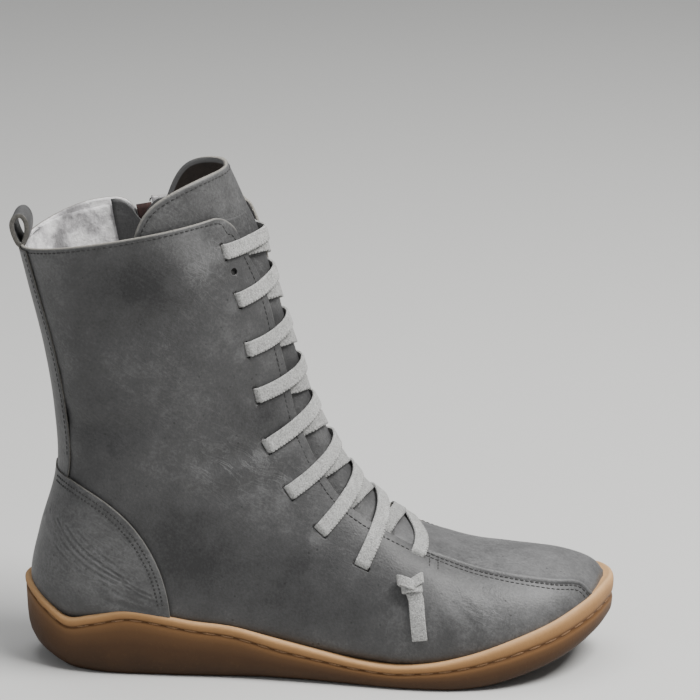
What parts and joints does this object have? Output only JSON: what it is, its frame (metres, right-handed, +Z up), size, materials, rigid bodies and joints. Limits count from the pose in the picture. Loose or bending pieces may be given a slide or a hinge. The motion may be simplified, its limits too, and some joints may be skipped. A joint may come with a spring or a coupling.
{
  "type": "winter boot",
  "caption": "Ankle-high grey leather winter boot for the right foot, with zigzag elastic lacing, an inner side zip, a heel pull loop, a pale warm lining and a stitched gum rubber sole.",
  "frame": {"origin": "on the ground under the middle of the heel's flat tread", "axes": "+X from heel to toe, +Y to the inner side of this right boot, +Z up"},
  "size_m": [0.2782, 0.0937, 0.2375],
  "materials": {
    "leather": "mottled grey pull-up leather with pale raw edges, satin",
    "gum": "gum rubber, matt, with a lighter stitched rim bead",
    "felt": "pale felt",
    "elastic": "woven flat grey elastic",
    "zip": "dark brown zip tape and teeth",
    "zip_metal": "dark brown enamelled zip slider and pull"
  },
  "bodies": {
    "boot": {"upper": "leather", "tongue": "leather", "heel_counter": "leather", "back_strip": "leather", "pull_loop": "leather", "outsole": "gum", "insole": "felt", "lace_crossings": "elastic", "lace_knot_lateral": "elastic", "lace_knot_medial": "elastic", "lace_end_lateral": "elastic", "lace_end_medial": "elastic", "zip_tape": "zip", "zip_slider": "zip_metal"},
    "pull": {"zip_pull": "zip_metal"}
  },
  "joints": [
    {"name": "zip_pull_hinge", "type": "hinge", "parent": "boot", "child": "pull", "pos_m": [0.02018, 0.03948, 0.19811], "axis": [0.9789, -0.0709, 0.1917], "range_deg": [0, 165]}
  ]
}
